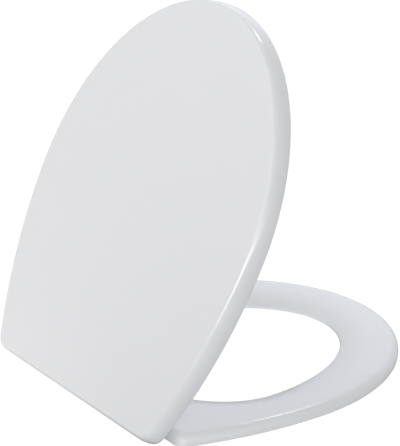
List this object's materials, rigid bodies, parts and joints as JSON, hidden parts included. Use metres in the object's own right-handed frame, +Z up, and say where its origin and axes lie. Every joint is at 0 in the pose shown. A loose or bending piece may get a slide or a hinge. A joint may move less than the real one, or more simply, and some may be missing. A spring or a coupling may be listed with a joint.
{
  "type": "toilet seat",
  "caption": "White plastic toilet seat: a one-piece lid with a rounded rim over a ring seat with an oval opening, on two soft-close hinge barrels that push onto pan pillars.",
  "frame": {"origin": "on the hinge axis, midway between the two sockets for the pan's pillars; the pan's plane is 33 mm below it", "axes": "-Y points to the front of the seat, +X runs along the hinge axis, +Z is up"},
  "size_m": [0.364, 0.4371, 0.419],
  "materials": {
    "white_plastic": "gloss",
    "grey_plastic": "matte",
    "steel": "brushed",
    "black_rubber": "matte",
    "white_rubber": "matte"
  },
  "bodies": {
    "hinge": {"left_hinge_barrel": "white_plastic", "left_damper_housing": "grey_plastic", "left_damper_cap": "grey_plastic", "left_damper_seal": "black_rubber", "left_pivot_pin": "steel", "right_hinge_barrel": "white_plastic", "right_damper_housing": "grey_plastic", "right_damper_cap": "grey_plastic", "right_damper_seal": "black_rubber", "right_pivot_pin": "steel"},
    "ring": {"seat_ring": "white_plastic", "left_damper_rotor": "grey_plastic", "right_pivot_bush": "grey_plastic", "front_left_ring_buffer": "white_rubber", "front_right_ring_buffer": "white_rubber", "rear_left_ring_buffer": "white_rubber", "rear_right_ring_buffer": "white_rubber"},
    "cover": {"lid": "white_plastic", "right_damper_rotor": "grey_plastic", "left_pivot_bush": "grey_plastic", "left_lid_buffer": "white_rubber", "right_lid_buffer": "white_rubber"}
  },
  "joints": [
    {"name": "ring_hinge", "type": "hinge", "parent": "hinge", "child": "ring", "pos_m": [0, 0, 0], "axis": [-1, 0, 0], "range_deg": [0, 95]},
    {"name": "lid_hinge", "type": "hinge", "parent": "ring", "child": "cover", "pos_m": [0, 0, 0], "axis": [1, 0, 0], "range_deg": [-29, 66]}
  ]
}
